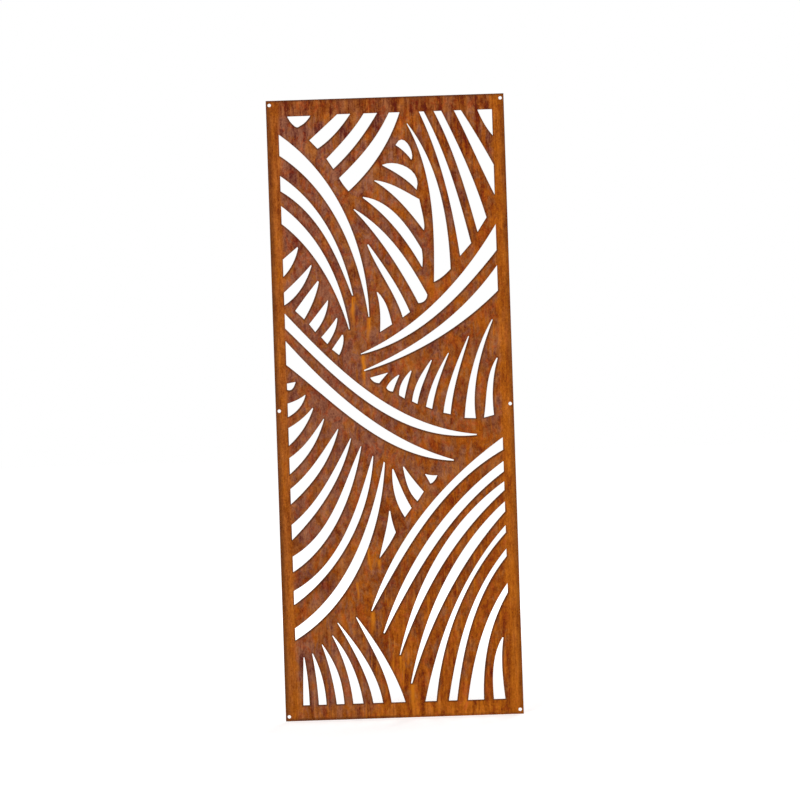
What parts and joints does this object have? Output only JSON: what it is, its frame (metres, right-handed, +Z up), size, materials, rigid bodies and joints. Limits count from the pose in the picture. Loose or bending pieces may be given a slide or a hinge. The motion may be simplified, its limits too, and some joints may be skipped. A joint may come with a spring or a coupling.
{
  "type": "laser cut metal screen",
  "caption": "Tall flat weathering-steel screen with a cut pattern of sweeping tapered slots inside a plain border, with open screw holes along both long sides.",
  "frame": {"origin": "middle of the bottom edge, halfway through the sheet's thickness", "axes": "+Z up along the long sides, +Y out of the back face, so the front looks towards -Y, +X to the right as seen from the front"},
  "size_m": [0.69, 0.003, 1.8],
  "materials": {
    "weathered_steel": "matt brown-orange rust patina, mottled and streaked, darker along the cut edges"
  },
  "bodies": {
    "root": {"cut_sheet": "weathered_steel"}
  },
  "joints": []
}
